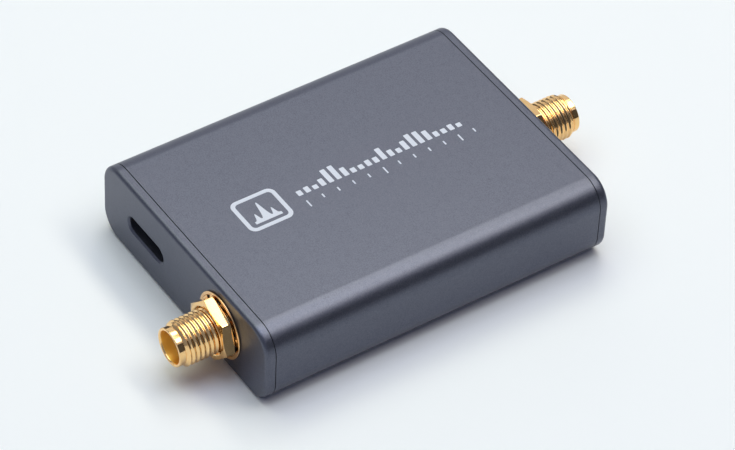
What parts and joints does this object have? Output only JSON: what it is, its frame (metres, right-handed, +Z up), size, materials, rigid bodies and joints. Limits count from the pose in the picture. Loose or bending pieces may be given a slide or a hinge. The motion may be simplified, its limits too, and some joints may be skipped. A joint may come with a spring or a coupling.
{
  "type": "usb spectrum analyzer",
  "caption": "Pocket-size USB-C spectrum analyzer: a dark anodised extruded box with a gold threaded coaxial jack at each end, held together by the jack nuts.",
  "frame": {"origin": "middle of the case's underside, on the surface it lies on", "axes": "+Z up from the underside, -Y out of the front panel with the USB-C opening, +X from the USB-C opening towards the front jack"},
  "size_m": [0.0402, 0.07, 0.0122],
  "materials": {
    "anodised_aluminium": "bead-blasted and anodised dark grey, satin",
    "gold_plate": "polished gold plating over machined brass",
    "fluoropolymer": "waxy white",
    "stainless_shell": "drawn stainless sheet",
    "black_moulding": "moulded black",
    "board_laminate": "glossy green solder mask",
    "tinned_steel": "dull tin plating",
    "chip_resin": "fine matt moulding resin",
    "component_can": "nickel-plated lid on a small can",
    "component_ceramic": "fired tan ceramic",
    "ferrite": "dark grey pressed ferrite"
  },
  "bodies": {
    "case": {"case_sleeve": "anodised_aluminium"},
    "board": {"main_board": "board_laminate", "front_jack_body": "gold_plate", "front_jack_insulator": "fluoropolymer", "front_jack_contact": "gold_plate", "rear_jack_body": "gold_plate", "rear_jack_insulator": "fluoropolymer", "rear_jack_contact": "gold_plate", "usb_shell": "stainless_shell", "usb_moulding": "black_moulding", "shield_fence": "tinned_steel", "shield_lid": "tinned_steel", "input_coupling_capacitor": "component_ceramic", "input_attenuator": "chip_resin", "first_mixer": "chip_resin", "synthesizer_chip": "chip_resin", "intermediate_filter": "component_can", "intermediate_amplifier": "chip_resin", "reference_oscillator": "component_can", "output_filter": "component_ceramic", "output_amplifier": "chip_resin", "output_coupling_capacitor": "component_ceramic", "usb_protection_chip": "chip_resin", "power_inductor": "ferrite", "regulator_chip": "chip_resin", "bulk_capacitor": "component_ceramic", "converter_chip": "chip_resin", "processor_chip": "chip_resin", "processor_crystal": "component_can", "flash_chip": "chip_resin", "supply_bead": "ferrite"},
    "front_cap": {"front_cap": "anodised_aluminium", "front_lock_washer": "gold_plate"},
    "front_nut": {"front_hex_nut": "gold_plate"},
    "rear_cap": {"rear_cap": "anodised_aluminium", "rear_lock_washer": "gold_plate"},
    "rear_nut": {"rear_hex_nut": "gold_plate"}
  },
  "joints": [
    {"name": "board_slide", "type": "slide", "parent": "case", "child": "board", "axis": [0, -1, 0], "range_m": [0, 0.05]},
    {"name": "front_cap_slide", "type": "slide", "parent": "board", "child": "front_cap", "axis": [0, -1, 0], "range_m": [0, 0.0141]},
    {"name": "front_nut_turn", "type": "hinge", "parent": "front_cap", "child": "front_nut", "pos_m": [0.0093, -0.0282, 0.0061], "axis": [0, -1, 0], "range_deg": [0, 7200]},
    {"name": "rear_cap_slide", "type": "slide", "parent": "case", "child": "rear_cap", "axis": [0, 1, 0], "range_m": [0, 0.0141]},
    {"name": "rear_nut_turn", "type": "hinge", "parent": "rear_cap", "child": "rear_nut", "pos_m": [0, 0.0282, 0.0061], "axis": [0, 1, 0], "range_deg": [0, 7200]}
  ],
  "couplings": [
    {"joint": "front_nut_turn", "follows": "front_cap_slide", "rad_per_m": 8905.3},
    {"joint": "rear_nut_turn", "follows": "rear_cap_slide", "rad_per_m": 8905.3}
  ]
}
